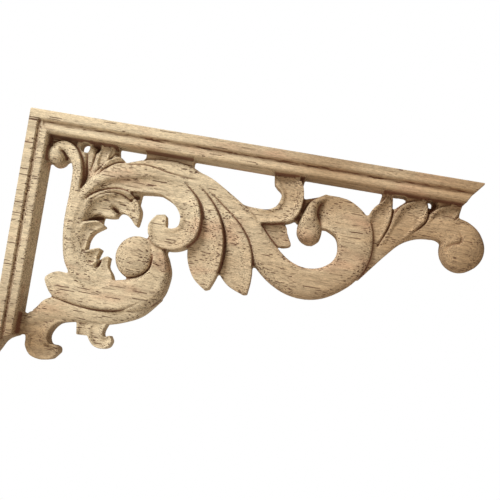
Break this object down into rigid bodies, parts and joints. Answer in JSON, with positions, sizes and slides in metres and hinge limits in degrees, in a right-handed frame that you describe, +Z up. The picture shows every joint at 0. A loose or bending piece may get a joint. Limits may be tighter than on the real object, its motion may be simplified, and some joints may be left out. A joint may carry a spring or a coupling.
{
  "type": "wooden corner onlay",
  "caption": "Carved wooden corner onlay: a moulded L-shaped frame filled with pierced acanthus scrollwork, flat-backed to be glued onto furniture or trim.",
  "frame": {"origin": "on the flat back, at the centre of the corner block where the two rails cross", "axes": "+X along the top rail, +Z up towards the top rail's outer edge, +Y out of the flat back into what the onlay is fixed to; the carving faces -Y"},
  "size_m": [0.1541, 0.009, 0.0825],
  "materials": {
    "wood": "raw unfinished rubberwood, machine carved, pale cream to tan with short dark pores"
  },
  "bodies": {
    "root": {"corner_onlay": "wood"}
  },
  "joints": []
}
